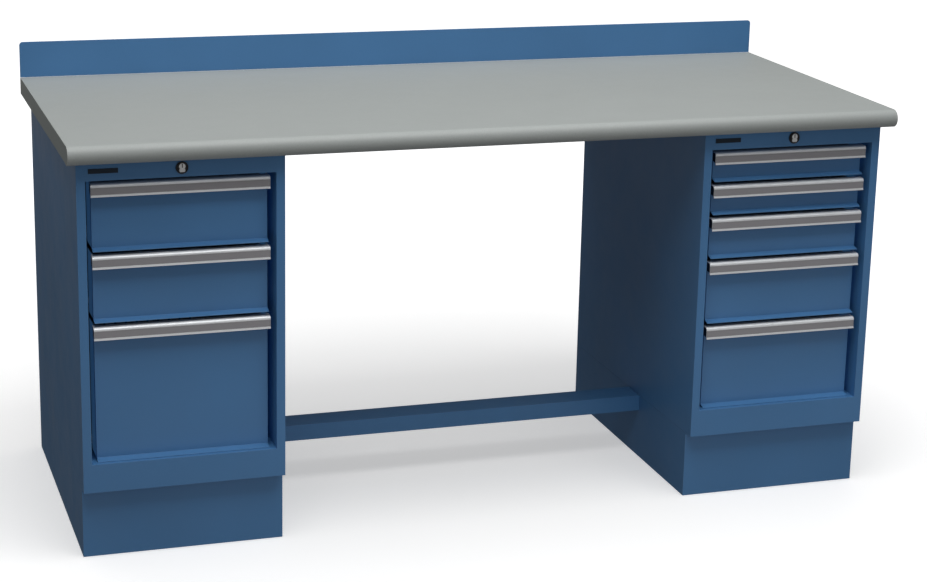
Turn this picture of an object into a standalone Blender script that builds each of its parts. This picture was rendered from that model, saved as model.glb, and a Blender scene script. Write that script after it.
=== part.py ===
"""A workbench: a laminate worktop with a backstop, carried by two drawer cabinets on plinth bases.

Metres, +Z up, the front faces -Y. The origin is on the floor, under the middle of the worktop.
"""

import math

import bmesh
import bpy
from mathutils import Matrix

# ---------------------------------------------------------------- driving dimensions
GAP = 0.0003

TOP_WIDTH = 1.8288
TOP_DEPTH = 0.779
TOP_THICK = 0.0393
TOP_SURFACE = 0.8905
NOSE_STEPS = 16

BACKSTOP_HEIGHT = 0.0818
BACKSTOP_SHEET = 0.002
BACKSTOP_CORNER = 0.008
BACKSTOP_REBATE = 0.0005
BACKSTOP_LIFT = 0.0001

CABINET_WIDTH = 0.4263
CABINET_DEPTH = 0.7210
CABINET_INSET = 0.0200
FRONT_SETBACK = 0.0387
SHEET = 0.0015
STILE = 0.0185
OPENING_LOW = 0.2128
OPENING_HIGH = 0.8128
RETURN_DEPTH = 0.088

BASE_HEIGHT = 0.1512
BASE_RECESS = 0.0274
BASE_SHEET = 0.002
BASE_FLANGE = 0.025

STRINGER_SETBACK = 0.339
STRINGER_DEPTH = 0.069
STRINGER_HEIGHT = 0.0370
STRINGER_SHEET = 0.002

DRAWER_HEIGHTS = {
    "left": (0.150, 0.150, 0.300),
    "right": (0.075, 0.075, 0.100, 0.150, 0.200),
}
FRONT_WIDTH = 0.362
FRONT_BEHIND = 0.0255
FRONT_DEPTH = 0.010
FRONT_SHEET = 0.0015
FRONT_TOP_DROP = 0.0103
FRONT_FOOT = 0.0045
LIP_REACH = 0.0150
LIP_FOOT = 0.0

HANDLE_WIDTH = 0.3668
HANDLE_SHEET = 0.0015
HANDLE_TOP_DROP = 0.0083
HANDLE_FACE = 0.0060
HANDLE_BACK = 0.0290
HANDLE_BEND = 0.0085
HANDLE_BEND_STEPS = 8
HANDLE_FACE_FOOT = 0.0310
HANDLE_LIP_FOOT = 0.0349
HANDLE_LIP_REACH = 0.0015
HANDLE_LEG_FOOT = 0.0290

TRAY_WIDTH = 0.352
TRAY_LENGTH = 0.640
TRAY_FLOOR = 0.010
TRAY_HEADROOM = 0.018
RAIL_ABOVE_LIMIT = 0.026
RAIL_HEIGHT = 0.022
TRAY_FLANGE = 0.0097
TRAY_RAIL_START = 0.092
BITE = 0.0005

RUNNER_LENGTH = 0.420
RUNNER_START = 0.093
RUNNER_HEIGHT = 0.016
RUNNER_INNER = 0.1860
ROLLER_RADIUS = 0.0092
ROLLER_SEGMENTS = 16
ROLLER_WIDE_IN = 0.0082
ROLLER_WIDE_OUT = 0.0084
ROLLER_END = 0.012
ROLLER_PITCH = 0.100

FIXED_RAIL_OUTER = 0.1980
FIXED_RAIL_INNER = 0.1878
FIXED_RAIL_START = 0.091
FIXED_RAIL_END = 0.690
POST_WIDTH = 0.040
POST_STARTS = (0.095, 0.640)
POST_FOOT = 0.010

LOCK_HEIGHT = 0.8321
LOCK_RADIUS = 0.0100
LOCK_HOLE = 0.0106
LOCK_PROUD = 0.0045
LOCK_SEGMENTS = 32
RING_RADIUS = 0.0128
RING_PROUD = 0.0030
KEY_SLOT = (0.0016, 0.0070)
LOCK_ROD_RADIUS = 0.004
LOCK_BARREL = 0.025
CRANK_START = 0.6880
CRANK_THICK = 0.005
CRANK_REACH = 0.010
CRANK_PIN = 0.0025
CRANK_PIN_SEGMENTS = 12
CRANK_PIN_PLAY = 0.0028
LOCK_BAR_START = 0.700
LOCK_BAR_THICK = 0.003
LOCK_BAR_WIDTH = 0.024
LOCK_BAR_HEAD = 0.040
HOOK_WIDTH = 0.016
HOOK_THICK = 0.003
HOOK_LIFT = 0.0125
HOOK_TIP = 0.002

NAMEPLATE = (0.060, 0.0006, 0.010)
NAMEPLATE_EDGE = 0.0245
NAMEPLATE_RISE = 0.0008

# ---------------------------------------------------------------- places worked out from them
TOP_UNDER = TOP_SURFACE - TOP_THICK
CABINET_X = TOP_WIDTH / 2 - CABINET_INSET - CABINET_WIDTH / 2
FRONT_Y = -TOP_DEPTH / 2 + FRONT_SETBACK
SIDES = {"left": -CABINET_X, "right": CABINET_X}
POST_OUTER = CABINET_WIDTH / 2 - SHEET - GAP

PARTS = "workbench"
CUTTERS = "cutters"


# ---------------------------------------------------------------- scene and materials
def reset_scene():
    """Removes every object and makes the two collections."""
    for old in list(bpy.data.objects):
        bpy.data.objects.remove(old)
    for name in (PARTS, CUTTERS):
        made = bpy.data.collections.new(name)
        bpy.context.scene.collection.children.link(made)


def material(name, colour, roughness, metallic=0.0):
    """A Principled material with one colour."""
    made = bpy.data.materials.new(name)
    made.use_nodes = True
    shader = made.node_tree.nodes["Principled BSDF"]
    shader.inputs["Base Color"].default_value = (*colour, 1.0)
    shader.inputs["Roughness"].default_value = roughness
    shader.inputs["Metallic"].default_value = metallic
    made.diffuse_color = (*colour, 1.0)
    return made


def make_materials():
    """Every finish on the bench."""
    return {
        "laminate": material("grey_laminate", (0.38, 0.40, 0.39), 0.45),
        "cabinet": material("blue_cabinet_paint", (0.045, 0.115, 0.230), 0.45),
        "drawer": material("blue_drawer_paint", (0.045, 0.115, 0.230), 0.40),
        "handle": material("brushed_aluminium", (0.62, 0.63, 0.65), 0.35, 1.0),
        "tray": material("grey_tray_paint", (0.45, 0.47, 0.49), 0.50),
        "runner": material("zinc_plated_steel", (0.55, 0.56, 0.58), 0.40, 1.0),
        "lock_ring": material("black_plastic", (0.012, 0.012, 0.014), 0.40),
        "lock": material("nickel_plate", (0.70, 0.70, 0.70), 0.25, 1.0),
        "nameplate": material("dark_nameplate", (0.020, 0.030, 0.045), 0.45),
    }


# ---------------------------------------------------------------- shapes
def add(name, data, parent=None, collection=PARTS):
    """Links a new object into a collection, under its parent."""
    made = bpy.data.objects.new(name, data)
    made.parent = parent
    bpy.data.collections[collection].objects.link(made)
    if collection == CUTTERS:
        made.hide_render = True
        made.display_type = "WIRE"
    return made


def frame_at(name, x, y, z):
    """An empty that carries a group of pieces, at their own origin."""
    empty = add(name, None)
    empty.location = (x, y, z)
    return empty


def boxes(name, spans, parent=None, collection=PARTS):
    """A mesh of boxes; each span is a pair of opposite corners."""
    shape = bmesh.new()
    for low, high in spans:
        size = [b - a for a, b in zip(low, high)]
        middle = [(a + b) / 2 for a, b in zip(low, high)]
        where = Matrix.Translation(middle) @ Matrix.Diagonal((*size, 1.0))
        bmesh.ops.create_cube(shape, size=1.0, matrix=where)
    data = bpy.data.meshes.new(name)
    shape.to_mesh(data)
    shape.free()
    return add(name, data, parent, collection)


def rods(name, spans, axis, parent=None, collection=PARTS, segments=ROLLER_SEGMENTS):
    """A mesh of cylinders along X or Y; each span is (centre, radius, length)."""
    turn = {
        "X": Matrix.Rotation(math.pi / 2, 4, "Y"),
        "Y": Matrix.Rotation(math.pi / 2, 4, "X"),
    }[axis]
    shape = bmesh.new()
    for centre, radius, length in spans:
        bmesh.ops.create_cone(
            shape,
            cap_ends=True,
            segments=segments,
            radius1=radius,
            radius2=radius,
            depth=length,
            matrix=Matrix.Translation(centre) @ turn,
        )
    data = bpy.data.meshes.new(name)
    shape.to_mesh(data)
    shape.free()
    return add(name, data, parent, collection)


def extruded(name, outline, length, parent=None):
    """A mesh of a flat outline, given as (y, z) points, extruded along X about x = 0."""
    curve = bpy.data.curves.new(name, "CURVE")
    curve.dimensions = "2D"
    curve.fill_mode = "BOTH"
    curve.extrude = length / 2
    spline = curve.splines.new("POLY")
    spline.points.add(len(outline) - 1)
    for point, (y, z) in zip(spline.points, outline):
        point.co = (y, z, 0.0, 1.0)
    spline.use_cyclic_u = True
    flat = add(name + "_outline", curve)
    data = bpy.data.meshes.new_from_object(
        flat.evaluated_get(bpy.context.evaluated_depsgraph_get())
    )
    bpy.data.objects.remove(flat)
    shape = bmesh.new()
    shape.from_mesh(data)
    bmesh.ops.remove_doubles(shape, verts=shape.verts, dist=0.00001)
    stand_up = Matrix.Rotation(math.pi / 2, 4, "Z") @ Matrix.Rotation(math.pi / 2, 4, "X")
    bmesh.ops.transform(shape, matrix=stand_up, verts=shape.verts)
    shape.to_mesh(data)
    shape.free()
    data.name = name
    return add(name, data, parent)


def combine(piece, other, operation):
    """Adds an exact Boolean to a piece."""
    boolean = piece.modifiers.new(other.name, "BOOLEAN")
    boolean.operation = operation
    boolean.object = other
    boolean.solver = "EXACT"
    return piece


def cut(piece, other):
    return combine(piece, other, "DIFFERENCE")


def join(piece, other):
    return combine(piece, other, "UNION")


def paint(piece, finish):
    """Gives a piece its material."""
    piece.data.materials.clear()
    piece.data.materials.append(finish)
    return piece


def round_off(piece, angle=35.0):
    """Shades a turned piece smooth, with its sharp edges kept."""
    piece.data.shade_smooth()
    piece.data.set_sharp_from_angle(angle=math.radians(angle))
    return piece


# ---------------------------------------------------------------- worktop and frame
def worktop(finish):
    """A slab with a half-round front edge, and a shallow rebate along the back for the backstop."""
    radius = TOP_THICK / 2
    middle_y = -TOP_DEPTH / 2 + radius
    middle_z = TOP_UNDER + radius
    back = TOP_DEPTH / 2
    seat = TOP_SURFACE - BACKSTOP_REBATE
    step_y = back - BACKSTOP_SHEET - GAP
    outline = [(back, TOP_UNDER), (back, seat), (step_y, seat), (step_y, TOP_SURFACE)]
    for step in range(NOSE_STEPS + 1):
        angle = math.pi / 2 + math.pi * step / NOSE_STEPS
        outline.append((middle_y + radius * math.cos(angle), middle_z + radius * math.sin(angle)))
    return round_off(paint(extruded("worktop", outline, TOP_WIDTH), finish))


def backstop(finish):
    """A sheet standing over the worktop's rebate, with rounded top corners."""
    half = TOP_WIDTH / 2
    low = TOP_SURFACE + BACKSTOP_LIFT
    high = TOP_SURFACE + BACKSTOP_HEIGHT
    front = TOP_DEPTH / 2 - BACKSTOP_SHEET
    back = TOP_DEPTH / 2
    piece = boxes("backstop", [((-half, front, low), (half, back, high))])
    mesh = bmesh.new()
    mesh.from_mesh(piece.data)
    corners = [e for e in mesh.edges if all(v.co.z > high - GAP for v in e.verts)]
    corners = [e for e in corners if abs(e.verts[0].co.x - e.verts[1].co.x) < GAP]
    bmesh.ops.bevel(
        mesh, geom=corners, offset=BACKSTOP_CORNER, segments=6, profile=0.5, affect="EDGES"
    )
    mesh.to_mesh(piece.data)
    mesh.free()
    return paint(piece, finish)


def base(side, finish):
    """A recessed plinth: folded sheet with a closed top and a flange along the floor."""
    half = CABINET_WIDTH / 2
    front = FRONT_Y + BASE_RECESS
    back = FRONT_Y + CABINET_DEPTH
    top = BASE_HEIGHT - GAP
    centre = frame_at(f"{side}_base_place", SIDES[side], 0, 0)
    piece = boxes(f"{side}_base", [((-half, front, 0), (half, back, top))], centre)
    t = BASE_SHEET
    hollow = [((-half + t, front + t, t), (half - t, back - t, top - t))]
    f = BASE_FLANGE
    floor_hole = [((-half + f, front + f, -t), (half - f, back - f, 2 * t))]
    cut(piece, boxes(f"{side}_base_hollow", hollow, centre, CUTTERS))
    cut(piece, boxes(f"{side}_base_floor_hole", floor_hole, centre, CUTTERS))
    return paint(piece, finish)


def stringer(finish):
    """A channel, open below, that ties the two bases together."""
    half = CABINET_X - CABINET_WIDTH / 2 - GAP
    front = -TOP_DEPTH / 2 + STRINGER_SETBACK
    back = front + STRINGER_DEPTH
    low = BASE_HEIGHT - STRINGER_HEIGHT
    high = BASE_HEIGHT
    t = STRINGER_SHEET
    piece = boxes("stringer", [((-half, front, low), (half, back, high))])
    hollow = [((-half + t, front + t, low - t), (half - t, back - t, high - t))]
    cut(piece, boxes("stringer_hollow", hollow, None, CUTTERS))
    return paint(piece, finish)


def housing(side, finish):
    """A folded sheet cabinet with a framed front opening and a hole for the lock."""
    half = CABINET_WIDTH / 2
    t = SHEET
    low = BASE_HEIGHT
    high = TOP_UNDER - GAP
    centre = frame_at(f"{side}_housing_place", SIDES[side], FRONT_Y, 0)
    piece = boxes(f"{side}_housing", [((-half, 0, low), (half, CABINET_DEPTH, high))], centre)
    inside = [((-half + t, t, low + t), (half - t, CABINET_DEPTH - t, high - t))]
    wide = half - STILE
    frame = [((-wide - t, t / 3, OPENING_LOW - t), (wide + t, RETURN_DEPTH, OPENING_HIGH + t))]
    opening = [((-wide, -t, OPENING_LOW), (wide, RETURN_DEPTH + t, OPENING_HIGH))]
    hole = [((0, 0, LOCK_HEIGHT), LOCK_HOLE, 4 * t)]
    cut(piece, boxes(f"{side}_housing_inside", inside, centre, CUTTERS))
    join(piece, boxes(f"{side}_housing_frame", frame, centre, CUTTERS))
    cut(piece, boxes(f"{side}_housing_opening", opening, centre, CUTTERS))
    cut(piece, rods(f"{side}_housing_lock_hole", hole, "Y", centre, CUTTERS, LOCK_SEGMENTS))
    return paint(piece, finish)


def rack(side, hand, finish):
    """Two posts and the fixed drawer rails, on one wall of a cabinet. hand is -1 or 1."""
    name = f"{side}_rack_{'l' if hand < 0 else 'r'}"
    t = SHEET
    centre = frame_at(f"{name}_place", SIDES[side], FRONT_Y, 0)
    low = BASE_HEIGHT + POST_FOOT
    high = TOP_UNDER - POST_FOOT

    def span(x_in, x_out, y_low, y_high, z_low, z_high):
        xs = sorted((hand * x_in, hand * x_out))
        return ((xs[0], y_low, z_low), (xs[1], y_high, z_high))

    post_in = FIXED_RAIL_OUTER
    posts = [span(post_in, POST_OUTER, y, y + POST_WIDTH, low, high) for y in POST_STARTS]
    hollows = [
        span(post_in + t, POST_OUTER + t, y + t, y + POST_WIDTH - t, low - t, high + t)
        for y in POST_STARTS
    ]
    webs = []
    flanges = []
    half = RAIL_HEIGHT / 2
    for z in rail_heights(side):
        y_span = (FIXED_RAIL_START, FIXED_RAIL_END)
        webs.append(span(post_in - t, post_in + BITE, *y_span, z - half, z + half))
        reach = (FIXED_RAIL_INNER, post_in - t + BITE)
        flanges.append(span(*reach, *y_span, z - half, z - half + t))
        flanges.append(span(*reach, *y_span, z + half - t, z + half))
    piece = boxes(name, posts, centre)
    cut(piece, boxes(f"{name}_hollows", hollows, centre, CUTTERS))
    join(piece, boxes(f"{name}_webs", webs, centre, CUTTERS))
    join(piece, boxes(f"{name}_flanges", flanges, centre, CUTTERS))
    return paint(piece, finish)


def nameplate(side, finish):
    """A small blank plate at the top left of a cabinet's front."""
    width, thick, height = NAMEPLATE
    left = -CABINET_WIDTH / 2 + NAMEPLATE_EDGE
    height_up = LOCK_HEIGHT + NAMEPLATE_RISE
    centre = frame_at(f"{side}_nameplate_place", SIDES[side], FRONT_Y, height_up)
    low = (left, -GAP - thick, -height / 2)
    high = (left + width, -GAP, height / 2)
    return paint(boxes(f"{side}_nameplate", [(low, high)], centre), finish)


# ---------------------------------------------------------------- drawers
def drawer_limits(side):
    """(upper limit, lower limit) of each drawer's share of the opening, from the top down."""
    limits = []
    top = OPENING_HIGH
    for height in DRAWER_HEIGHTS[side]:
        limits.append((top, top - height))
        top -= height
    return limits


def rail_heights(side):
    """The height of each drawer's rails."""
    return [low + RAIL_ABOVE_LIMIT for high, low in drawer_limits(side)]


def drawer_front(name, height, place, finish):
    """A shallow pan, open behind, with a lip that slopes forwards along its lower edge."""
    half = FRONT_WIDTH / 2
    t = FRONT_SHEET
    near = FRONT_BEHIND
    far = FRONT_BEHIND + FRONT_DEPTH
    top = -FRONT_TOP_DROP
    foot = -height + FRONT_FOOT
    lip_tip = (near - LIP_REACH, -height + LIP_FOOT)
    outline = [
        (far, top),
        (near, top),
        (near, foot + t),
        (lip_tip[0], lip_tip[1] + t),
        lip_tip,
        (near + t, foot),
        (far, foot),
    ]
    piece = extruded(f"{name}_front", outline, FRONT_WIDTH, place)
    hollow = [((-half + t, near + t, foot + t), (half - t, far + t, top - t))]
    cut(piece, boxes(f"{name}_front_hollow", hollow, place, CUTTERS))
    return paint(piece, finish)


def handle_bend(radius):
    """Points (y, z) on the bend from the handle's top plate down to its face."""
    middle_y = HANDLE_FACE + HANDLE_BEND
    middle_z = -HANDLE_TOP_DROP - HANDLE_BEND
    points = []
    for step in range(HANDLE_BEND_STEPS + 1):
        angle = math.pi / 2 * (1 + step / HANDLE_BEND_STEPS)
        points.append((middle_y + radius * math.cos(angle), middle_z + radius * math.sin(angle)))
    return points


def drawer_handle(name, place, finish):
    """A full-width extruded pull: a top plate, a front face with a flared lip, and a fixing leg."""
    t = HANDLE_SHEET
    under = -HANDLE_TOP_DROP - t
    leg = FRONT_BEHIND - GAP
    lip = HANDLE_FACE - HANDLE_LIP_REACH
    outline = [(HANDLE_BACK, -HANDLE_TOP_DROP)]
    outline += handle_bend(HANDLE_BEND)
    outline += [
        (HANDLE_FACE, -HANDLE_FACE_FOOT),
        (lip, -HANDLE_LIP_FOOT),
        (lip + t, -HANDLE_LIP_FOOT),
        (HANDLE_FACE + t, -HANDLE_FACE_FOOT),
    ]
    outline += reversed(handle_bend(HANDLE_BEND - t))
    outline += [
        (leg - t, under),
        (leg - t, -HANDLE_LEG_FOOT),
        (leg, -HANDLE_LEG_FOOT),
        (leg, under),
        (HANDLE_BACK, under),
    ]
    return round_off(paint(extruded(f"{name}_handle", outline, HANDLE_WIDTH, place), finish))


def drawer_tray(name, height, place, finish):
    """An open-topped box with a channel rail along each side."""
    half = TRAY_WIDTH / 2
    t = SHEET
    near = FRONT_BEHIND + FRONT_DEPTH + GAP
    far = near + TRAY_LENGTH
    low = -height + TRAY_FLOOR
    high = -TRAY_HEADROOM
    rail = -height + RAIL_ABOVE_LIMIT
    piece = boxes(f"{name}_tray", [((-half, near, low), (half, far, high))], place)
    inside = [((-half + t, near + t, low + t), (half - t, far - t, high + t))]
    flanges = []
    for z in (rail - RAIL_HEIGHT / 2, rail + RAIL_HEIGHT / 2 - t):
        for hand in (-1, 1):
            xs = sorted((hand * (half - BITE), hand * (half + TRAY_FLANGE)))
            flanges.append(((xs[0], TRAY_RAIL_START, z), (xs[1], far, z + t)))
    cut(piece, boxes(f"{name}_tray_inside", inside, place, CUTTERS))
    join(piece, boxes(f"{name}_tray_flanges", flanges, place, CUTTERS))
    return paint(piece, finish)


def runner(name, height, hand, place, finish):
    """The middle member of a full-extension slide: a bar with rollers on both faces."""
    rail = -height + RAIL_ABOVE_LIMIT
    full_name = f"{name}_runner_{'l' if hand < 0 else 'r'}"
    inner = RUNNER_INNER
    outer = RUNNER_INNER + SHEET
    xs = sorted((hand * inner, hand * outer))
    low = (xs[0], RUNNER_START, rail - RUNNER_HEIGHT / 2)
    high = (xs[1], RUNNER_START + RUNNER_LENGTH, rail + RUNNER_HEIGHT / 2)
    piece = boxes(full_name, [(low, high)], place)
    y_front = RUNNER_START + ROLLER_END
    y_back = RUNNER_START + RUNNER_LENGTH - ROLLER_END
    inside_x = hand * (inner - ROLLER_WIDE_IN / 2 + BITE)
    outside_x = hand * (outer + ROLLER_WIDE_OUT / 2 - BITE)
    inner_rollers = [
        ((inside_x, y, rail), ROLLER_RADIUS, ROLLER_WIDE_IN) for y in (y_front, y_front + ROLLER_PITCH)
    ]
    outer_rollers = [
        ((outside_x, y, rail), ROLLER_RADIUS, ROLLER_WIDE_OUT) for y in (y_back, y_back - ROLLER_PITCH)
    ]
    spans = inner_rollers + outer_rollers
    join(piece, rods(f"{full_name}_rollers", spans, "X", place, CUTTERS))
    return paint(piece, finish)


def drawers(side, finishes):
    """Every drawer of one cabinet, each about an empty on its line of travel."""
    for number, (high, low) in enumerate(drawer_limits(side), start=1):
        name = f"{side}_drawer_{number}"
        height = high - low
        place = frame_at(f"{name}_slide", SIDES[side], FRONT_Y, high)
        drawer_front(name, height, place, finishes["drawer"])
        drawer_handle(name, place, finishes["handle"])
        drawer_tray(name, height, place, finishes["tray"])
        carriage = frame_at(f"{name}_runner_slide", SIDES[side], FRONT_Y, high)
        for hand in (-1, 1):
            runner(name, height, hand, carriage, finishes["runner"])


# ---------------------------------------------------------------- locks
def lock_ring(side, place, finish):
    """The black ring round the lock's face."""
    spans = [((0, -GAP - RING_PROUD / 2, 0), RING_RADIUS, RING_PROUD)]
    piece = rods(f"{side}_lock_ring", spans, "Y", place, PARTS, LOCK_SEGMENTS)
    hole = [((0, -RING_PROUD / 2, 0), LOCK_HOLE, 4 * RING_PROUD)]
    cut(piece, rods(f"{side}_lock_ring_hole", hole, "Y", place, CUTTERS, LOCK_SEGMENTS))
    return paint(piece, finish)


def lock_cylinder(side, place, finish):
    """The turning cylinder, with its key slot, the rod that runs to the back, and a crank with a pin."""
    barrel_length = LOCK_BARREL + LOCK_PROUD
    barrel = [((0, LOCK_BARREL - barrel_length / 2, 0), LOCK_RADIUS, barrel_length)]
    piece = rods(f"{side}_lock_cylinder", barrel, "Y", place, PARTS, LOCK_SEGMENTS)
    wide, tall = KEY_SLOT
    slot = [((-wide / 2, -2 * LOCK_PROUD, 0), (wide / 2, 0, tall))]
    cut(piece, boxes(f"{side}_key_slot", slot, place, CUTTERS))
    rod_start = LOCK_BARREL - BITE
    rod_end = CRANK_START + BITE
    rod = [((0, (rod_start + rod_end) / 2, 0), LOCK_ROD_RADIUS, rod_end - rod_start)]
    join(piece, rods(f"{side}_lock_rod", rod, "Y", place, CUTTERS))
    arm_end = CRANK_REACH + 2 * CRANK_PIN
    arm_half = LOCK_ROD_RADIUS + 2 * BITE
    arm = [((-arm_half, CRANK_START, -arm_half), (arm_end, CRANK_START + CRANK_THICK, arm_half))]
    join(piece, boxes(f"{side}_lock_crank", arm, place, CUTTERS))
    pin_start = CRANK_START + CRANK_THICK - BITE
    pin_end = LOCK_BAR_START + 2 * LOCK_BAR_THICK
    pin = [((CRANK_REACH, (pin_start + pin_end) / 2, 0), CRANK_PIN, pin_end - pin_start)]
    join(piece, rods(f"{side}_lock_pin", pin, "Y", place, CUTTERS, CRANK_PIN_SEGMENTS))
    return paint(piece, finish)


def lock_bar(side, place, finish):
    """The bar behind the drawers: a slotted head for the crank's pin, and a hook over each tray.

    The pin moves on an arc and the bar at an even rate, so the slot is taller than the pin.
    """
    tray_back = FRONT_BEHIND + FRONT_DEPTH + GAP + TRAY_LENGTH
    near = LOCK_BAR_START
    far = LOCK_BAR_START + LOCK_BAR_THICK
    arms = []
    tips = []
    hook_front = tray_back - SHEET - 2 * HOOK_THICK - 4 * BITE
    for high, low in drawer_limits(side):
        tray_top = high - TRAY_HEADROOM - LOCK_HEIGHT
        arm_low = tray_top + HOOK_LIFT
        arm_high = arm_low + HOOK_THICK
        half = HOOK_WIDTH / 2
        arms.append(((-half, hook_front, arm_low), (half, near + BITE, arm_high)))
        tip_high = arm_low + BITE
        tips.append(((-half, hook_front, tray_top + HOOK_TIP), (half, hook_front + HOOK_THICK, tip_high)))
    foot = arms[-1][0][2] - 2 * HOOK_THICK
    top = LOCK_BAR_HEAD / 4
    stem = [((-LOCK_BAR_WIDTH / 2, near, foot), (LOCK_BAR_WIDTH / 2, far, -top + BITE))]
    head = [((-LOCK_BAR_HEAD / 2, near, -top), (LOCK_BAR_HEAD / 2, far, top))]
    clear = CRANK_PIN + CRANK_PIN_PLAY
    slot_low = (-CRANK_PIN - 2 * BITE, near - far, -clear)
    slot_high = (CRANK_REACH + CRANK_PIN + 2 * BITE, 2 * far, clear)
    piece = boxes(f"{side}_lock_bar", stem, place)
    join(piece, boxes(f"{side}_lock_bar_head", head, place, CUTTERS))
    cut(piece, boxes(f"{side}_lock_bar_slot", [(slot_low, slot_high)], place, CUTTERS))
    join(piece, boxes(f"{side}_lock_bar_arms", arms, place, CUTTERS))
    join(piece, boxes(f"{side}_lock_bar_tips", tips, place, CUTTERS))
    return paint(piece, finish)


def lock(side, finishes):
    """A cabinet's lock, about an empty on the cylinder's axis."""
    place = frame_at(f"{side}_lock_axis", SIDES[side], FRONT_Y, LOCK_HEIGHT)
    lock_ring(side, place, finishes["lock_ring"])
    lock_cylinder(side, place, finishes["lock"])
    lock_bar(side, place, finishes["runner"])


# ---------------------------------------------------------------- the whole bench
def build():
    reset_scene()
    finishes = make_materials()
    worktop(finishes["laminate"])
    backstop(finishes["cabinet"])
    stringer(finishes["cabinet"])
    for side in SIDES:
        base(side, finishes["cabinet"])
        housing(side, finishes["cabinet"])
        for hand in (-1, 1):
            rack(side, hand, finishes["runner"])
        nameplate(side, finishes["nameplate"])
        drawers(side, finishes)
        lock(side, finishes)
    bpy.context.view_layer.update()


build()
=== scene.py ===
import math

import bmesh
import bpy
from mathutils import Matrix, Vector


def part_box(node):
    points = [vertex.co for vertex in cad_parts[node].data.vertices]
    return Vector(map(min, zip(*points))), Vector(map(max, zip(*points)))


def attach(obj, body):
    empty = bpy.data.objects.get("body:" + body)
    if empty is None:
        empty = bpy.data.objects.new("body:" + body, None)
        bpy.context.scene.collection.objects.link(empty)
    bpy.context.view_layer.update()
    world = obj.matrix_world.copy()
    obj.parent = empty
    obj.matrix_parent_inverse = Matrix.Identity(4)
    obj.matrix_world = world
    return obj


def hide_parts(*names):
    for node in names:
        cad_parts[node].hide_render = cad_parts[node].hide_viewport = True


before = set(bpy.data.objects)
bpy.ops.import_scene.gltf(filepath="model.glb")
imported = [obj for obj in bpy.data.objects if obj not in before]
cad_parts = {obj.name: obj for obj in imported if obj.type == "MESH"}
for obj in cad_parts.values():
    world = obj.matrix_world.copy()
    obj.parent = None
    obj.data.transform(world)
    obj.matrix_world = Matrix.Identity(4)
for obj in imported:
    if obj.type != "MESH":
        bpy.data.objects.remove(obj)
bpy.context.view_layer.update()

# ---------------------------------------------------------------- what the bench is made of
MM = 0.001
SIDES = ("left", "right")
DRAWERS = {"left": 3, "right": 5}
HANDS = {"l": -1, "r": 1}
ROOT_BODY = "bench"

# Worktop: a laminate skin round a chipboard core, with a band on each end and a sheet below.
LAMINATE = 1.2 * MM
GLUE_LINE = 0.3 * MM
BACKER = 0.8 * MM
END_BAND = 1.0 * MM
CORE_GAP = 0.05 * MM
CORE_SETBACK = 0.2 * MM
NOSE_STEPS = 32
NOSE_WRAP = 20.0 * MM
REBATE_WIDTH = 2.3 * MM

# Handle: y behind its frontmost point, z below its top.
HANDLE_FACE = 1.5 * MM
HANDLE_SHEET = 1.5 * MM
HANDLE_BEND = 7.0 * MM
HANDLE_BEND_STEPS = 12
HANDLE_FACE_FOOT = 22.7 * MM
HANDLE_LEG = 20.7 * MM
HANDLE_LEG_FOOT = 20.7 * MM
GROOVE_DEPTH = 0.7 * MM
GROOVE_TOP = 7.3 * MM
GROOVE_FOOT = 22.4 * MM
LABEL_END = 0.4 * MM
LABEL_Y = (1.65 * MM, 2.15 * MM)
LABEL_Z = (7.5 * MM, 22.2 * MM)
CAP_INSET = 0.1 * MM
CAP_THICKNESS = 0.8 * MM

# Drawer box: folded sheet with slots for dividers and holes in its floor.
SHEET = 1.5 * MM
RETURN_FOOT = 5.0 * MM
RETURN_REACH = 52.0 * MM
SLOT_PITCH = 25.5 * MM
SLOT_WIDTH = 5.0 * MM
SLOT_MARGIN = 14.0 * MM
SLOT_FROM, SLOT_TO = 0.30, 0.82
FLOOR_HOLE_PITCH = 51.0 * MM
FLOOR_HOLE = 6.0 * MM
TRAY_HALF = 176.0 * MM
TRAY_RAIL_SETBACK = 56.2 * MM
TRAY_RAIL_HALF = 11.0 * MM
HEM = 1.1 * MM
HEM_DROP = 4 * HEM

# Runners, x from the middle of the cabinet.
ROLLER_RADIUS = 9.2 * MM
ROLLER_SEGMENTS = 32
ROLLER_END = 12.0 * MM
ROLLER_PITCH = 100.0 * MM
RUNNER_INNER = 186.0 * MM
RUNNER_HALF_HEIGHT = 8.0 * MM

# Locks, y behind the front of the cylinder.
LOCK_SEGMENTS = 48
RING_WALL = 2.2 * MM
BARREL_RADIUS = 10.0 * MM
BARREL_END = 29.5 * MM
CORE_WIDTH = 6.6 * MM
CORE_STEPS = 24
CORE_DEPTH = 3.0 * MM
KEY_SLOT_WIDTH = 1.7 * MM
KEY_SLOT_DEPTH = 2.6 * MM
KEY_SLOT_Z = (0.5 * MM, 8.4 * MM)
ROD_RADIUS = 4.0 * MM
ROD_SEGMENTS = 24
CRANK_SETBACK = 18.0 * MM
CRANK = 5.0 * MM
CRANK_PIN_X = 10.0 * MM
CRANK_PIN_RADIUS = 2.5 * MM

FLOOR_GLOW = 0.45


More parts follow.
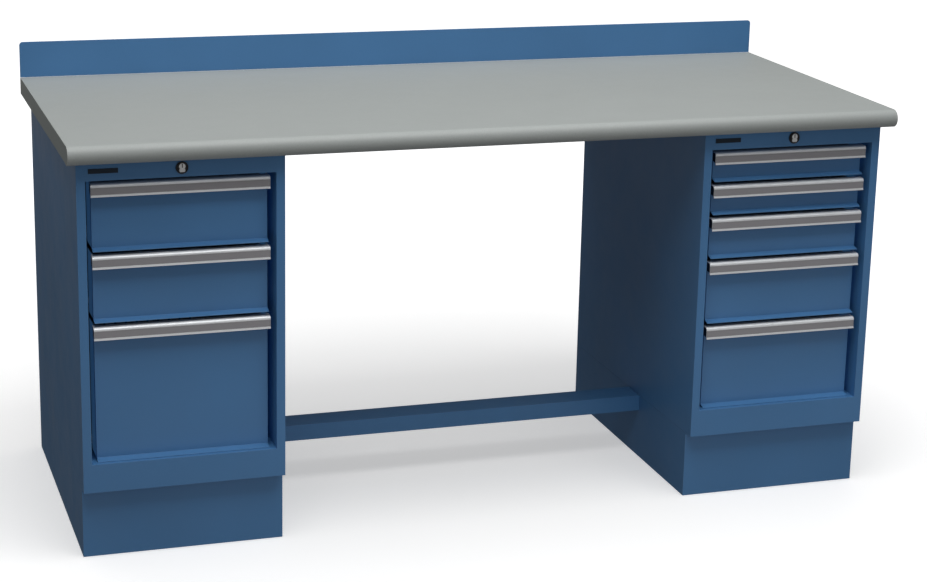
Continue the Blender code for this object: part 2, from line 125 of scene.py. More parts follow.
# ---------------------------------------------------------------- materials
class Finish:
    """One material's nodes. Each call adds nodes and returns an output socket."""

    def __init__(self, name, roughness=0.5, metallic=0.0):
        self.material = bpy.data.materials.new(name)
        self.material.use_nodes = True
        self.tree = self.material.node_tree
        self.shader = self.tree.nodes["Principled BSDF"]
        self.shader.inputs["Roughness"].default_value = roughness
        self.shader.inputs["Metallic"].default_value = metallic
        self.place = self.add("ShaderNodeTexCoord").outputs["Object"]

    def add(self, kind, **settings):
        node = self.tree.nodes.new(kind)
        for name, value in settings.items():
            setattr(node, name, value)
        return node

    def link(self, source, target):
        if isinstance(source, bpy.types.NodeSocket):
            self.tree.links.new(source, target)
        else:
            target.default_value = source

    def stretched(self, scale):
        node = self.add("ShaderNodeMapping")
        self.link(self.place, node.inputs["Vector"])
        node.inputs["Scale"].default_value = scale
        return node.outputs["Vector"]

    def noise(self, scale, detail=2.0, roughness=0.5, vector=None):
        node = self.add("ShaderNodeTexNoise")
        self.link(vector or self.place, node.inputs["Vector"])
        node.inputs["Scale"].default_value = scale
        node.inputs["Detail"].default_value = detail
        node.inputs["Roughness"].default_value = roughness
        return node.outputs["Fac"]

    def cells(self, scale):
        node = self.add("ShaderNodeTexVoronoi")
        self.link(self.place, node.inputs["Vector"])
        node.inputs["Scale"].default_value = scale
        return node.outputs["Distance"]

    def spread(self, value, low, high, out_low=0.0, out_high=1.0):
        """Maps value from low..high to out_low..out_high, clamped."""
        node = self.add("ShaderNodeMapRange", clamp=True)
        self.link(value, node.inputs["Value"])
        node.inputs["From Min"].default_value = low
        node.inputs["From Max"].default_value = high
        node.inputs["To Min"].default_value = out_low
        node.inputs["To Max"].default_value = out_high
        return node.outputs["Result"]

    def math(self, operation, a, b=0.0):
        node = self.add("ShaderNodeMath", operation=operation)
        self.link(a, node.inputs[0])
        self.link(b, node.inputs[1])
        return node.outputs["Value"]

    def mix(self, factor, first, second):
        node = self.add("ShaderNodeMix", data_type="RGBA")
        self.link(factor, node.inputs["Factor"])
        for key, colour in (("A", first), ("B", second)):
            socket = next(s for s in node.inputs if s.name == key and s.type == "RGBA")
            self.link(colour if isinstance(colour, bpy.types.NodeSocket) else (*colour, 1.0), socket)
        return next(s for s in node.outputs if s.type == "RGBA")

    def edges(self, radius):
        """1 along the piece's outer edges, 0 on its flats."""
        soft = self.add("ShaderNodeBevel", samples=4)
        soft.inputs["Radius"].default_value = radius
        flat = self.add("ShaderNodeNewGeometry")
        dot = self.add("ShaderNodeVectorMath", operation="DOT_PRODUCT")
        self.link(soft.outputs["Normal"], dot.inputs[0])
        self.link(flat.outputs["Normal"], dot.inputs[1])
        return self.spread(dot.outputs["Value"], 0.995, 0.90)

    def set(self, name, source):
        self.link(source, self.shader.inputs[name])

    def bump(self, height, distance, strength=1.0, onto=None):
        node = self.add("ShaderNodeBump")
        node.inputs["Strength"].default_value = strength
        node.inputs["Distance"].default_value = distance
        self.link(height, node.inputs["Height"])
        if onto is not None:
            self.link(onto, node.inputs["Normal"])
        self.link(node.outputs["Normal"], self.shader.inputs["Normal"])
        return node.outputs["Normal"]


def shade(colour, amount):
    """The colour made lighter or darker."""
    return tuple(c * amount for c in colour)


def powder_coat(name, colour, roughness=0.42, glow=0.0):
    """Baked powder paint: orange peel, a little cloudiness, and paler edges, partly where the coat is thin
    and partly a painted highlight.

    A faint glow stands for the light that bounces about in a narrow painted gap.
    """
    finish = Finish(name)
    # Emission in the paint's own colour: painted bounce light, off unless glow is set.
    finish.shader.inputs["Emission Color"].default_value = (*colour, 1.0)
    finish.shader.inputs["Emission Strength"].default_value = glow
    cloud = finish.noise(3.5, 3.0)
    grain = finish.noise(900.0, 2.0, 0.6)
    body = finish.mix(finish.spread(cloud, 0.3, 0.7), shade(colour, 0.94), shade(colour, 1.06))
    speckled = finish.mix(finish.spread(grain, 0.55, 0.75, 0.0, 0.35), body, shade(colour, 1.25))
    # Paler edges: partly a thin coat on the edges, partly a painted highlight where the rounded edges catch
    # the light.
    edge_breakup = finish.noise(60.0, 4.0, 0.7)
    edge_wear_and_highlight = finish.math("MULTIPLY", finish.edges(0.9 * MM), finish.spread(edge_breakup, 0.35, 0.65, 0.15, 0.6))
    # The paler edge colour: part thin coat, part painted highlight.
    pale = tuple(0.55 * c + 0.10 for c in colour)
    finish.set("Base Color", finish.mix(edge_wear_and_highlight, speckled, pale))
    patches = finish.noise(14.0, 4.0)
    finish.set("Roughness", finish.spread(patches, 0.3, 0.7, roughness - 0.05, roughness + 0.06))
    peel = finish.bump(finish.noise(330.0, 1.5, 0.4), 0.10 * MM, 0.55)
    finish.bump(grain, 0.02 * MM, 0.4, peel)
    return finish.material


def laminate(name, colour):
    """High-pressure laminate: a fine two-tone mottle under a matt, slightly pebbled surface."""
    finish = Finish(name)
    mottle = finish.noise(420.0, 3.0, 0.65)
    cloud = finish.noise(2.2, 2.0)
    fleck = finish.spread(finish.cells(700.0), 0.12, 0.28, 0.45, 0.0)
    body = finish.mix(finish.spread(mottle, 0.35, 0.65), shade(colour, 0.95), shade(colour, 1.05))
    toned = finish.mix(finish.spread(cloud, 0.3, 0.7, 0.0, 0.12), body, shade(colour, 0.90))
    finish.set("Base Color", finish.mix(fleck, toned, shade(colour, 1.12)))
    finish.set("Roughness", finish.spread(finish.noise(9.0, 5.0, 0.7), 0.3, 0.7, 0.44, 0.56))
    finish.bump(finish.noise(1100.0, 2.0), 0.03 * MM, 0.5)
    return finish.material


def edge_band(name, colour):
    """A moulded edging with a faint lengthwise drawing mark; its grey, darker than the laminate's, is
    painted shade for the ends.
    """
    finish = Finish(name)
    drawn = finish.noise(1.0, 3.0, 0.6, finish.stretched((500.0, 6.0, 900.0)))
    grain = finish.noise(700.0, 2.0)
    body = finish.mix(finish.spread(drawn, 0.3, 0.7), shade(colour, 0.92), shade(colour, 1.07))
    finish.set("Base Color", finish.mix(finish.spread(grain, 0.5, 0.8, 0.0, 0.3), body, shade(colour, 1.2)))
    finish.set("Roughness", finish.spread(drawn, 0.2, 0.8, 0.42, 0.58))
    finish.bump(drawn, 0.02 * MM, 0.4)
    return finish.material


def particle_board(name, colour):
    """Pressed wood chips, seen on the worktop's cut back edge."""
    finish = Finish(name, roughness=0.85)
    chips = finish.cells(260.0)
    fine = finish.noise(500.0, 4.0, 0.7)
    body = finish.mix(finish.spread(chips, 0.1, 0.7), shade(colour, 0.7), shade(colour, 1.15))
    finish.set("Base Color", finish.mix(finish.spread(fine, 0.3, 0.7, 0.0, 0.5), body, shade(colour, 0.85)))
    finish.set("Roughness", finish.spread(fine, 0.2, 0.8, 0.75, 0.95))
    finish.bump(chips, 0.25 * MM, 0.6)
    return finish.material


def brushed_metal(name, colour, roughness, along, lines=1400.0, metallic=1.0):
    """Metal brushed along one axis, with fine lines across the other two."""
    finish = Finish(name, metallic=metallic)
    scale = tuple(lines / 160.0 if axis == along else lines for axis in range(3))
    brush = finish.noise(1.0, 4.0, 0.65, finish.stretched(scale))
    cloud = finish.noise(6.0, 3.0)
    body = finish.mix(finish.spread(brush, 0.3, 0.7), shade(colour, 0.93), shade(colour, 1.05))
    finish.set("Base Color", finish.mix(finish.spread(cloud, 0.3, 0.7, 0.0, 0.25), body, shade(colour, 0.9)))
    finish.set("Roughness", finish.spread(brush, 0.25, 0.75, roughness - 0.06, roughness + 0.08))
    finish.bump(brush, 0.015 * MM, 0.5)
    return finish.material


def zinc_plate(name, colour):
    """Bright zinc plating: soft spangle, faint blue and yellow clouds, and drawing lines."""
    finish = Finish(name, metallic=1.0)
    spangle = finish.cells(90.0)
    cloud = finish.noise(11.0, 4.0, 0.6)
    warm = tuple(c * k for c, k in zip(colour, (1.06, 1.02, 0.88)))
    cool = tuple(c * k for c, k in zip(colour, (0.92, 0.98, 1.06)))
    body = finish.mix(finish.spread(cloud, 0.35, 0.65), cool, warm)
    dulled = finish.spread(spangle, 0.1, 0.8, 0.0, 0.35)
    finish.set("Base Color", finish.mix(dulled, body, shade(colour, 0.82)))
    finish.set("Roughness", finish.spread(finish.noise(40.0, 4.0, 0.7), 0.3, 0.7, 0.30, 0.46))
    finish.bump(finish.noise(240.0, 3.0), 0.03 * MM, 0.5)
    return finish.material


def moulded_plastic(name, colour, roughness=0.38):
    """Moulded plastic with a fine spark-eroded grain."""
    finish = Finish(name)
    grain = finish.noise(1500.0, 2.0, 0.6)
    cloud = finish.noise(120.0, 2.0)
    body = finish.mix(finish.spread(cloud, 0.3, 0.7), shade(colour, 0.85), shade(colour, 1.2))
    finish.set("Base Color", body)
    finish.set("Roughness", finish.spread(grain, 0.3, 0.7, roughness - 0.05, roughness + 0.08))
    finish.bump(grain, 0.02 * MM, 0.5)
    return finish.material


def label_strip(name, colour):
    """Blank label card under a clear cover: paper fibre below a smooth coat."""
    finish = Finish(name, roughness=0.5)
    finish.shader.inputs["Coat Weight"].default_value = 0.5
    finish.shader.inputs["Coat Roughness"].default_value = 0.22
    fibre = finish.noise(1.0, 4.0, 0.7, finish.stretched((500.0, 1800.0, 1800.0)))
    body = finish.mix(finish.spread(fibre, 0.3, 0.7), shade(colour, 0.95), shade(colour, 1.05))
    finish.set("Base Color", body)
    finish.set("Roughness", finish.spread(fibre, 0.3, 0.7, 0.45, 0.6))
    finish.bump(fibre, 0.01 * MM, 0.4)
    return finish.material


BLUE = (0.069, 0.210, 0.440)
materials = {
    "cabinet": powder_coat("cabinet_powder_coat", BLUE),
    "drawer": powder_coat("drawer_powder_coat", shade(BLUE, 1.02), 0.40),
    # The folds' paint glows faintly: painted bounce light for the narrow gap beside each drawer.
    "fold": powder_coat("drawer_fold_painted_bounce_glow", shade(BLUE, 1.02), 0.40, 0.16),
    "laminate": laminate("worktop_laminate", (0.385, 0.410, 0.400)),
    # The end bands' darker grey is painted shade for the worktop's ends, which face away from the light.
    "edge": edge_band("worktop_end_band_painted_shade", (0.26, 0.31, 0.31)),
    "core": particle_board("worktop_particle_board", (0.36, 0.26, 0.16)),
    "backer": laminate("worktop_backing_sheet", (0.20, 0.185, 0.17)),
    "handle": brushed_metal("handle_brushed_aluminium", (0.90, 0.92, 0.94), 0.42, 0, metallic=0.42),
    "label": label_strip("handle_label_strip", (0.306, 0.298, 0.315)),
    "tray": powder_coat("tray_powder_coat", (0.46, 0.48, 0.50), 0.48),
    "zinc": zinc_plate("runner_zinc_plate", (0.60, 0.61, 0.63)),
    "roller": moulded_plastic("roller_nylon", (0.72, 0.72, 0.69), 0.35),
    "black": moulded_plastic("lock_black_plastic", (0.012, 0.012, 0.014), 0.32),
    "nickel": brushed_metal("lock_satin_nickel", (0.93, 0.93, 0.93), 0.36, 2, 2600.0, 0.45),
    "plate": brushed_metal("nameplate_dark_anodised", (0.035, 0.045, 0.060), 0.42, 0, 2200.0),
}


# ---------------------------------------------------------------- shapes
def new_object(name, shape, material, smooth_angle=35.0):
    """Turns a bmesh into an object with its origin at the frame's."""
    bmesh.ops.recalc_face_normals(shape, faces=shape.faces)
    data = bpy.data.meshes.new(name)
    shape.to_mesh(data)
    shape.free()
    data.materials.append(material)
    data.shade_smooth()
    data.set_sharp_from_angle(angle=math.radians(smooth_angle))
    piece = bpy.data.objects.new(name, data)
    bpy.context.scene.collection.objects.link(piece)
    return piece


def add_box(shape, low, high):
    size = [b - a for a, b in zip(low, high)]
    middle = [(a + b) / 2 for a, b in zip(low, high)]
    where = Matrix.Translation(middle) @ Matrix.Diagonal((*size, 1.0))
    bmesh.ops.create_cube(shape, size=1.0, matrix=where)


def add_prism(shape, outline, start, end, axis):
    """A closed prism: outline in the two other axes, in order, from start to end along axis."""

    def place(point, along):
        coords = list(point)
        coords.insert(axis, along)
        return coords

    rings = [[shape.verts.new(place(p, along)) for p in outline] for along in (start, end)]
    shape.faces.new(rings[0])
    shape.faces.new(rings[1])
    count = len(outline)
    for i in range(count):
        j = (i + 1) % count
        shape.faces.new((rings[0][i], rings[0][j], rings[1][j], rings[1][i]))


def add_turned(shape, profile, centre, axis, segments, bored=False):
    """A solid of revolution: profile is (distance along axis, radius), from one end to the other.

    A bored one has a profile that closes on itself round the hole.
    """
    rings = []
    for along, radius in profile:
        ring = []
        for step in range(segments):
            angle = 2 * math.pi * step / segments
            coords = [radius * math.cos(angle), radius * math.sin(angle)]
            coords.insert(axis, along)
            ring.append(shape.verts.new(Vector(coords) + Vector(centre)))
        rings.append(ring)
    if not bored:
        shape.faces.new(rings[0])
        shape.faces.new(rings[-1])
    following = rings[1:] + rings[:1] if bored else rings[1:]
    for first, second in zip(rings, following):
        for i in range(segments):
            j = (i + 1) % segments
            shape.faces.new((first[i], first[j], second[j], second[i]))


def add_plate(shape, us, vs, holes, place, thickness):
    """A plate on a grid of us by vs with some cells left open, made solid along its normal."""
    corners = {(i, j): shape.verts.new(place(u, v)) for i, u in enumerate(us) for j, v in enumerate(vs)}
    faces = []
    for i in range(len(us) - 1):
        for j in range(len(vs) - 1):
            if (i, j) not in holes:
                ring = (corners[i, j], corners[i + 1, j], corners[i + 1, j + 1], corners[i, j + 1])
                faces.append(shape.faces.new(ring))
    for vert in [v for v in corners.values() if not v.link_faces]:
        shape.verts.remove(vert)
    made = bmesh.ops.extrude_face_region(shape, geom=faces, use_keep_orig=True)
    moved = [item for item in made["geom"] if isinstance(item, bmesh.types.BMVert)]
    bmesh.ops.translate(shape, verts=moved, vec=thickness)


def rounded(piece, width, segments=2, angle=30.0):
    """Rounds a piece's edges with a modifier."""
    bevel = piece.modifiers.new("rounded_edges", "BEVEL")
    bevel.width = width
    bevel.segments = segments
    bevel.limit_method = "ANGLE"
    bevel.angle_limit = math.radians(angle)
    bevel.harden_normals = True
    return piece


def carve(piece, cutter):
    """Cuts cutter out of piece, and keeps only the result."""
    boolean = piece.modifiers.new("carve", "BOOLEAN")
    boolean.operation = "DIFFERENCE"
    boolean.object = cutter
    boolean.solver = "EXACT"
    cut = bpy.data.meshes.new_from_object(piece.evaluated_get(bpy.context.evaluated_depsgraph_get()))
    piece.modifiers.clear()
    piece.data = cut
    bpy.data.objects.remove(cutter)


def show(piece, body, slot, *nodes):
    """Puts a piece on its body and hides the nodes it stands for. The slot argument is not used."""
    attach(piece, body)
    if nodes:
        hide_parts(*nodes)


# ---------------------------------------------------------------- carried-over CAD nodes
def finish_node(name, material, edge):
    """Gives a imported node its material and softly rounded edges."""
    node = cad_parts[name]
    for slot in node.material_slots:
        slot.link = "OBJECT"
        slot.material = material
    weld = node.modifiers.new("weld", "WELD")
    weld.merge_threshold = 0.05 * MM
    flats = node.modifiers.new("flats", "DECIMATE")
    flats.decimate_type = "DISSOLVE"
    flats.angle_limit = math.radians(0.5)
    rounded(node, edge)


def dress_nodes():
    """The nodes that are shown as they are packed, with a material and softer edges."""
    finish_node("backstop", materials["cabinet"], 0.5 * MM)
    finish_node("stringer", materials["cabinet"], 0.4 * MM)
    for side in SIDES:
        finish_node(f"{side}_base", materials["cabinet"], 0.3 * MM)
        finish_node(f"{side}_housing", materials["cabinet"], 0.35 * MM)
        finish_node(f"{side}_lock_bar", materials["zinc"], 0.4 * MM)
        for hand in HANDS:
            finish_node(f"{side}_rack_{hand}", materials["zinc"], 0.4 * MM)
        for number in range(1, DRAWERS[side] + 1):
            finish_node(f"{side}_drawer_{number}_front", materials["drawer"], 0.45 * MM)


# ---------------------------------------------------------------- worktop
def top_path(low, high, inset, wrap_end, back):
    """Points (y, z) along the worktop's face, from back over the top and round the nose to wrap_end."""
    radius = (high.z - low.z) / 2
    middle = Vector((low.y + radius, low.z + radius))
    path = [(back, high.z - inset)]
    for step in range(NOSE_STEPS + 1):
        angle = math.pi / 2 + math.pi * step / NOSE_STEPS
        reach = radius - inset
        path.append((middle.x + reach * math.cos(angle), middle.y + reach * math.sin(angle)))
    path.append((wrap_end, low.z + inset))
    return path


def worktop():
    """Laminate skin, chipboard core, backing sheet and the two end bands."""
    low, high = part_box("worktop")
    radius = (high.z - low.z) / 2
    wrap_end = low.y + radius + NOSE_WRAP
    skin = bmesh.new()
    seat = high.y - REBATE_WIDTH
    outer = top_path(low, high, 0.0, wrap_end, seat)
    inner = top_path(low, high, LAMINATE, wrap_end, seat)
    add_prism(skin, outer + inner[::-1], low.x, high.x, 0)
    piece = new_object("worktop_laminate", skin, materials["laminate"], 40.0)
    show(piece, ROOT_BODY, "worktop_laminate", "worktop")

    core = bmesh.new()
    core_end = high.y - CORE_SETBACK
    core_path = top_path(low, high, LAMINATE + CORE_GAP, core_end, core_end)
    add_prism(core, core_path, low.x + END_BAND, high.x - END_BAND, 0)
    show(new_object("worktop_core", core, materials["core"], 40.0), ROOT_BODY, "worktop_laminate")

    backer = bmesh.new()
    near = (low.x + END_BAND, wrap_end + GLUE_LINE, low.z)
    far = (high.x - END_BAND, high.y, low.z + BACKER)
    add_box(backer, near, far)
    piece = new_object("worktop_backing_sheet", backer, materials["backer"])
    show(rounded(piece, 0.2 * MM, 1), ROOT_BODY, "worktop_laminate")

    band_inset = LAMINATE + GLUE_LINE
    for name, start, end in (("l", low.x, low.x + END_BAND), ("r", high.x - END_BAND, high.x)):
        band = bmesh.new()
        add_prism(band, top_path(low, high, band_inset, high.y, high.y), start, end, 0)
        piece = new_object(f"worktop_end_{name}", band, materials["edge"], 40.0)
        show(rounded(piece, 0.25 * MM, 2), ROOT_BODY, "worktop_laminate")


# ---------------------------------------------------------------- handles
def handle_bend(radius):
    """Points (y, z) on the bend from the handle's top plate down to its face."""
    middle = Vector((HANDLE_FACE + HANDLE_BEND, -HANDLE_BEND))
    points = []
    for step in range(HANDLE_BEND_STEPS + 1):
        angle = math.pi / 2 * (1 + step / HANDLE_BEND_STEPS)
        points.append((middle.x + radius * math.cos(angle), middle.y + radius * math.sin(angle)))
    return points


def handle_section(back, foot):
    """The handle's outline: over the bend, down the grooved face, round the lip and up to the leg."""
    t = HANDLE_SHEET
    outline = [(back, 0.0)]
    outline += handle_bend(HANDLE_BEND)
    outline += [
        (HANDLE_FACE, -GROOVE_TOP),
        (HANDLE_FACE + GROOVE_DEPTH, -GROOVE_TOP),
        (HANDLE_FACE + GROOVE_DEPTH, -GROOVE_FOOT),
        (HANDLE_FACE, -GROOVE_FOOT),
        (HANDLE_FACE, -HANDLE_FACE_FOOT),
        (0.0, -foot),
        (t, -foot),
        (HANDLE_FACE + t, -HANDLE_FACE_FOOT),
    ]
    outline += reversed(handle_bend(HANDLE_BEND - t))
    outline += [
        (HANDLE_LEG - t, -t),
        (HANDLE_LEG - t, -HANDLE_LEG_FOOT),
        (HANDLE_LEG, -HANDLE_LEG_FOOT),
        (HANDLE_LEG, -t),
        (back, -t),
    ]
    return outline


def handle(name):
    """An extruded pull with a groove for its label strip, and the strip in it."""
    low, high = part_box(f"{name}_handle")
    shape = bmesh.new()
    section = handle_section(high.y - low.y, high.z - low.z)
    add_prism(shape, [(low.y + y, high.z + z) for y, z in section], low.x, high.x, 0)
    piece = new_object(f"{name}_pull", shape, materials["handle"])
    show(rounded(piece, 0.25 * MM, 2, 25.0), name, "handle_aluminium", f"{name}_handle")

    strip = bmesh.new()
    near = (low.x + LABEL_END, low.y + LABEL_Y[0], high.z - LABEL_Z[1])
    far = (high.x - LABEL_END, low.y + LABEL_Y[1], high.z - LABEL_Z[0])
    add_box(strip, near, far)
    label = new_object(f"{name}_label_strip", strip, materials["label"])
    show(rounded(label, 0.15 * MM, 2), name, "handle_aluminium")


def handle_caps(name):
    """Dark caps that close the two ends of the pull."""
    low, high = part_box(f"{name}_handle")
    inner = HANDLE_LEG - HANDLE_SHEET
    outline = handle_bend(HANDLE_BEND - HANDLE_SHEET)
    outline.append((HANDLE_FACE + HANDLE_SHEET, -HANDLE_FACE_FOOT))
    outline += [(inner, -HANDLE_LEG_FOOT), (inner, -HANDLE_SHEET)]
    placed = [(low.y + y, high.z + z) for y, z in outline]
    shape = bmesh.new()
    add_prism(shape, placed, low.x + CAP_INSET, low.x + CAP_INSET + CAP_THICKNESS, 0)
    add_prism(shape, placed, high.x - CAP_INSET - CAP_THICKNESS, high.x - CAP_INSET, 0)
    show(new_object(f"{name}_handle_caps", shape, materials["black"]), name, "handle_aluminium")


def front_returns(name):
    """The folded sides of a drawer front, which run back beside the drawer box."""
    low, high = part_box(f"{name}_front")
    shape = bmesh.new()
    for x in (low.x, high.x - SHEET):
        add_box(shape, (x, high.y, low.z + RETURN_FOOT), (x + SHEET, high.y + RETURN_REACH, high.z))
    # Its material glows faintly: painted bounce light in the gap beside the drawer.
    piece = new_object(f"{name}_front_returns", shape, materials["fold"])
    show(rounded(piece, 0.3 * MM, 2), name, "drawer_paint")


# ---------------------------------------------------------------- trays
def even_cuts(start, end, pitch, width, margin):
    """The edges of evenly spaced slots, with both ends, and which of the spans are slots."""
    count = max(1, int((end - start - 2 * margin) / pitch))
    first = (start + end) / 2 - (count - 1) * pitch / 2
    edges = [start]
    for i in range(count):
        edges += [first + i * pitch - width / 2, first + i * pitch + width / 2]
    edges.append(end)
    return edges, range(1, 2 * count, 2)


def slotted_wall(shape, start, end, z_low, z_high, place, thickness):
    """A tray wall with a row of divider slots."""
    us, slots = even_cuts(start, end, SLOT_PITCH, SLOT_WIDTH, SLOT_MARGIN)
    tall = z_high - z_low
    vs = [z_low, z_low + SLOT_FROM * tall, z_low + SLOT_TO * tall, z_high]
    add_plate(shape, us, vs, {(i, 1) for i in slots}, place, thickness)


def tray(name):
    """A folded tray: slotted walls, hemmed rim, perforated floor and a channel rail on each side."""
    low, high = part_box(f"{name}_tray")
    middle_x = (low.x + high.x) / 2
    left = middle_x - TRAY_HALF
    right = middle_x + TRAY_HALF
    shape = bmesh.new()
    for x, inwards in ((left, SHEET), (right, -SHEET)):
        slotted_wall(shape, low.y, high.y, low.z, high.z, lambda u, v, x=x: (x, u, v), (inwards, 0, 0))
    for y, inwards in ((low.y, SHEET), (high.y, -SHEET)):
        slotted_wall(shape, left, right, low.z, high.z, lambda u, v, y=y: (u, y, v), (0, inwards, 0))
    us, u_slots = even_cuts(left, right, FLOOR_HOLE_PITCH, FLOOR_HOLE, SLOT_MARGIN)
    vs, v_slots = even_cuts(low.y, high.y, FLOOR_HOLE_PITCH, FLOOR_HOLE, SLOT_MARGIN)
    holes = {(i, j) for i in u_slots for j in v_slots}
    add_plate(shape, us, vs, holes, lambda u, v: (u, v, low.z), (0, 0, SHEET))
    for x in (left + SHEET, right - HEM - SHEET):
        add_box(shape, (x, low.y + SHEET, high.z - HEM_DROP), (x + HEM, high.y - SHEET, high.z))
    for rail_z in rail_levels(name):
        for start, end in ((low.x, left), (right, high.x)):
            add_box(shape, (start, low.y + TRAY_RAIL_SETBACK, rail_z), (end, high.y, rail_z + SHEET))
    piece = new_object(f"{name}_drawer_box", shape, materials["tray"])
    show(piece, name, "tray_paint", f"{name}_tray")


def rail_levels(name):
    """The heights of the two flanges of the tray's rail, from the runner that runs between them."""
    low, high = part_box(f"{name}_runner_l")
    middle = (low.z + high.z) / 2
    return (middle - TRAY_RAIL_HALF, middle + TRAY_RAIL_HALF - SHEET)


# ---------------------------------------------------------------- runners
def runner(name, hand, body):
    """The middle member of a slide: a pressed bar with two nylon rollers on each face."""
    node = f"{name}_runner_{hand}"
    low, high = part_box(node)
    side = HANDS[hand]
    cabinet_x = cabinet_middle(name)
    z = (low.z + high.z) / 2
    inner = cabinet_x + side * RUNNER_INNER
    outer = cabinet_x + side * (RUNNER_INNER + SHEET)
    bar = bmesh.new()
    xs = sorted((inner, outer))
    add_box(bar, (xs[0], low.y, z - RUNNER_HALF_HEIGHT), (xs[1], high.y, z + RUNNER_HALF_HEIGHT))
    piece = new_object(f"{node}_bar", bar, materials["zinc"])
    show(rounded(piece, 0.4 * MM, 2), body, "runner_steel", node)
    y_front = low.y + ROLLER_END
    y_back = high.y - ROLLER_END
    reach_in = abs((low.x if side > 0 else high.x) - inner)
    reach_out = abs((high.x if side > 0 else low.x) - outer)
    rollers = bmesh.new()
    pins = bmesh.new()
    for start, reach, way, ys in (
        (inner, reach_in, -side, (y_front, y_front + ROLLER_PITCH)),
        (outer, reach_out, side, (y_back, y_back - ROLLER_PITCH)),
    ):
        for y in ys:
            add_roller(rollers, pins, start, reach, way, y, z)
    show(new_object(f"{node}_rollers", rollers, materials["roller"]), body, "runner_steel")
    show(new_object(f"{node}_pins", pins, materials["zinc"]), body, "runner_steel")


def add_roller(rollers, pins, start, reach, way, y, z):
    """A grooved roller on a riveted pin, from the bar's face outwards."""
    rim = ROLLER_RADIUS
    tyre = (
        (0.5 * MM, rim - 1.2 * MM),
        (0.9 * MM, rim - 0.3 * MM),
        (1.6 * MM, rim),
        (reach - 2.0 * MM, rim),
        (reach - 1.2 * MM, rim - 0.5 * MM),
        (reach - 0.9 * MM, rim - 1.6 * MM),
        (reach - 1.6 * MM, rim - 3.4 * MM),
        (reach - 1.6 * MM, rim - 5.0 * MM),
    )
    pin = (
        (0.0, 2.6 * MM),
        (reach - 0.9 * MM, 2.6 * MM),
        (reach - 0.3 * MM, 2.2 * MM),
        (reach, 1.2 * MM),
    )
    for shape, profile in ((rollers, tyre), (pins, pin)):
        add_turned(shape, [(way * a, r) for a, r in profile], (start, y, z), 0, ROLLER_SEGMENTS)


def cabinet_middle(name):
    """The x of the middle of the cabinet that a drawer is in."""
    low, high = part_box(f"{name}_front")
    return (low.x + high.x) / 2


# ---------------------------------------------------------------- locks and plates
def lock_ring(side):
    """A round bezel with an eased rim."""
    low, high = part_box(f"{side}_lock_ring")
    centre = (low + high) / 2
    radius = (high.z - low.z) / 2
    bore = radius - RING_WALL
    profile = (
        (high.y, bore),
        (high.y, radius),
        (low.y + 0.8 * MM, radius),
        (low.y + 0.2 * MM, radius - 0.4 * MM),
        (low.y, radius - 1.0 * MM),
        (low.y, bore + 0.6 * MM),
        (low.y + 0.4 * MM, bore),
    )
    shape = bmesh.new()
    add_turned(shape, profile, (centre.x, 0, centre.z), 1, LOCK_SEGMENTS, bored=True)
    piece = new_object(f"{side}_lock_bezel", shape, materials["black"])
    show(piece, ROOT_BODY, "lock_ring", f"{side}_lock_ring")


def lock_core_outline(x, z):
    """The core's face: a round upper lobe over a squarer lower lobe, with a waist between."""
    points = []
    for step in range(CORE_STEPS + 1):
        angle = math.radians(-35 + 250 * step / CORE_STEPS)
        points.append((x + CORE_WIDTH * math.cos(angle), z + 3.0 * MM + CORE_WIDTH * math.sin(angle)))
    left_edge = ((-4.6, -1.6), (-6.0, -2.6), (-6.2, -6.2), (-4.6, -8.6))
    points += [(x + a * MM, z + b * MM) for a, b in left_edge]
    points += [(x - a * MM, z + b * MM) for a, b in reversed(left_edge)]
    return points


def lock_cylinder(side):
    """A black barrel with a satin core that holds the key slot, and the rod and crank to the back."""
    node = f"{side}_lock_cylinder"
    body = f"{side}_lock"
    ring_low, ring_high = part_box(f"{side}_lock_ring")
    low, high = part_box(node)
    x = (ring_low.x + ring_high.x) / 2
    z = (ring_low.z + ring_high.z) / 2
    face = low.y
    barrel_profile = (
        (face + 0.5 * MM, BARREL_RADIUS - 1.6 * MM),
        (face + 0.6 * MM, BARREL_RADIUS - 0.5 * MM),
        (face + 1.2 * MM, BARREL_RADIUS),
        (face + BARREL_END, BARREL_RADIUS),
    )
    barrel = bmesh.new()
    add_turned(barrel, barrel_profile, (x, 0, z), 1, LOCK_SEGMENTS)
    show(new_object(f"{side}_lock_barrel", barrel, materials["black"]), body, "lock_metal", node)

    core = bmesh.new()
    add_prism(core, lock_core_outline(x, z), face, face + CORE_DEPTH, 1)
    piece = new_object(f"{side}_lock_core", core, materials["nickel"])
    slot = bmesh.new()
    half = KEY_SLOT_WIDTH / 2
    near = (x - half, face - MM, z + KEY_SLOT_Z[0])
    far = (x + half, face + KEY_SLOT_DEPTH, z + KEY_SLOT_Z[1])
    add_box(slot, near, far)
    carve(piece, new_object("key_slot_cutter", slot, materials["black"]))
    show(rounded(piece, 0.3 * MM, 2), body, "lock_metal")

    rod = bmesh.new()
    crank_y = high.y - CRANK_SETBACK
    add_turned(rod, ((face + BARREL_END, ROD_RADIUS), (crank_y, ROD_RADIUS)), (x, 0, z), 1, ROD_SEGMENTS)
    add_box(rod, (x - CRANK, crank_y, z - CRANK), (high.x, crank_y + CRANK, z + CRANK))
    pin_profile = ((crank_y + CRANK, CRANK_PIN_RADIUS), (high.y, CRANK_PIN_RADIUS))
    add_turned(rod, pin_profile, (x + CRANK_PIN_X, 0, z), 1, ROD_SEGMENTS)
    piece = new_object(f"{side}_lock_rod", rod, materials["zinc"])
    show(rounded(piece, 0.3 * MM, 2), body, "lock_metal")


def nameplate(side):
    """A blank plate, with nothing on it."""
    low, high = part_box(f"{side}_nameplate")
    shape = bmesh.new()
    add_box(shape, low, high)
    piece = new_object(f"{side}_blank_plate", shape, materials["plate"])
    show(rounded(piece, 0.25 * MM, 2), ROOT_BODY, "nameplate", f"{side}_nameplate")


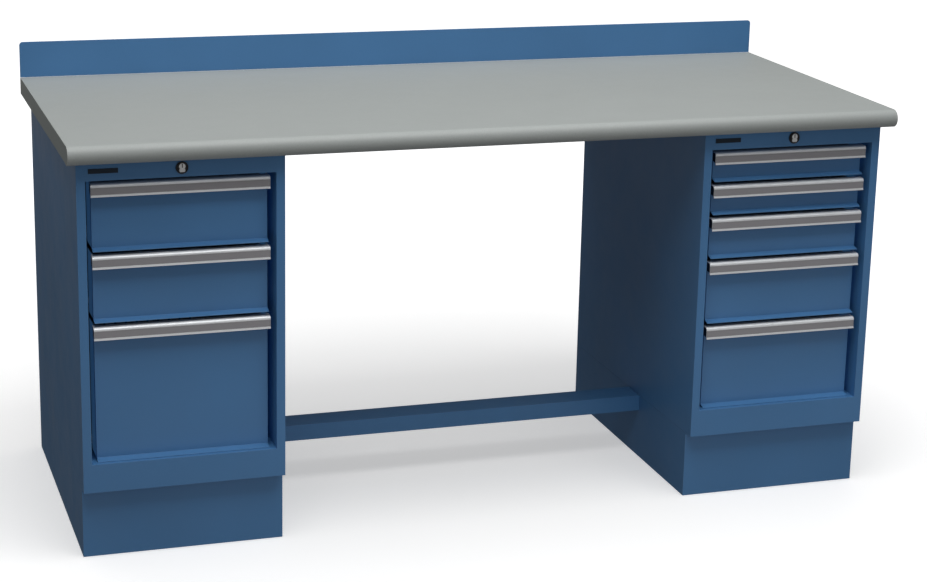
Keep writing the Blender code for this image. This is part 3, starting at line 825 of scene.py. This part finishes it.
# ---------------------------------------------------------------- studio
def floor_and_backdrop():
    """A wide pale floor that glows softly away from the bench; it doesn't colour the bench."""
    shape = bmesh.new()
    bmesh.ops.create_circle(shape, cap_ends=True, segments=96, radius=60.0)
    finish = Finish("pale_floor", roughness=0.9)
    tone = finish.noise(0.4, 3.0)
    pale, paler = (0.78, 0.78, 0.78), (0.80, 0.80, 0.80)
    finish.set("Base Color", finish.mix(finish.spread(tone, 0.3, 0.7), pale, paler))
    away = finish.add("ShaderNodeVectorMath", operation="LENGTH")
    finish.link(finish.place, away.inputs[0])
    finish.shader.inputs["Emission Color"].default_value = (1.0, 1.0, 1.0, 1.0)
    finish.set("Emission Strength", finish.spread(away.outputs["Value"], 0.9, 3.2, FLOOR_GLOW, 1.0))
    floor = new_object("floor", shape, finish.material)
    floor.location.z = -0.5 * MM
    floor.visible_diffuse = False
    floor.visible_glossy = False


def area_light(name, place, target, size, power, colour=(1.0, 1.0, 1.0)):
    """A soft panel that faces its target."""
    data = bpy.data.lights.new(name, "AREA")
    data.shape = "RECTANGLE"
    data.size, data.size_y = size
    data.energy = power
    data.color = colour
    lamp = bpy.data.objects.new(name, data)
    lamp.location = place
    lamp.rotation_euler = (Vector(target) - Vector(place)).to_track_quat("-Z", "Y").to_euler()
    lamp.visible_camera = False
    bpy.context.scene.collection.objects.link(lamp)


def studio_light():
    """Soft panels above and in front, weak ones low at the front, left and back, and a dim sky."""
    world = bpy.data.worlds.new("studio")
    world.use_nodes = True
    sky = world.node_tree.nodes["Background"]
    sky.inputs["Color"].default_value = (1.0, 1.0, 1.0, 1.0)
    sky.inputs["Strength"].default_value = 0.095
    bpy.context.scene.world = world
    area_light("ceiling", (0.0, -0.6, 4.6), (0.0, -0.6, 0.9), (9.0, 8.0), 56.0)
    area_light("overhead", (0.0, 0.2, 4.4), (0.0, 0.0, 0.9), (4.0, 3.0), 52.0)
    area_light("front_top", (0.0, -1.7, 4.2), (0.0, -0.2, 0.7), (4.0, 2.4), 88.0)
    area_light("front", (1.2, -4.6, 2.6), (0.0, -0.3, 0.5), (4.0, 2.0), 11.0)
    area_light("floor_bounce", (0.3, -1.3, 0.03), (0.3, -0.6, 0.85), (3.4, 1.0), 4.2)
    area_light("left_wall", (-4.2, -0.4, 0.7), (-0.9, 0.0, 0.5), (2.0, 1.2), 6.0, (1.0, 0.86, 0.76))
    area_light("back_left", (-2.6, 4.5, 0.4), (-0.9, 0.0, 0.45), (2.4, 0.8), 3.0, (1.0, 0.92, 0.86))


def camera():
    """A long lens, from the front left, a little above the worktop."""
    heading, tilt, roll = (math.radians(a) for a in (-18.4440, 14.9391, 1.3091))
    data = bpy.data.cameras.new("camera")
    data.lens = 83.810
    data.shift_x = -0.01069
    data.shift_y = -0.04446
    data.sensor_width = 36.0
    turn = Matrix.Rotation(heading, 4, "Z") @ Matrix.Rotation(math.pi / 2 - tilt, 4, "X")
    place = Matrix.Translation((-1.46206, -4.55918, 1.80553))
    taker = bpy.data.objects.new("camera", data)
    taker.matrix_world = place @ turn @ Matrix.Rotation(roll, 4, "Z")
    bpy.context.scene.collection.objects.link(taker)
    bpy.context.scene.camera = taker


# ---------------------------------------------------------------- the whole scene
def build():
    dress_nodes()
    worktop()
    for side in SIDES:
        lock_ring(side)
        lock_cylinder(side)
        nameplate(side)
        for number in range(1, DRAWERS[side] + 1):
            name = f"{side}_drawer_{number}"
            handle(name)
            handle_caps(name)
            front_returns(name)
            tray(name)
            for hand in HANDS:
                runner(name, hand, f"{name}_runners")
    floor_and_backdrop()
    studio_light()
    camera()
    bpy.context.scene.view_settings.view_transform = "Standard"


build()
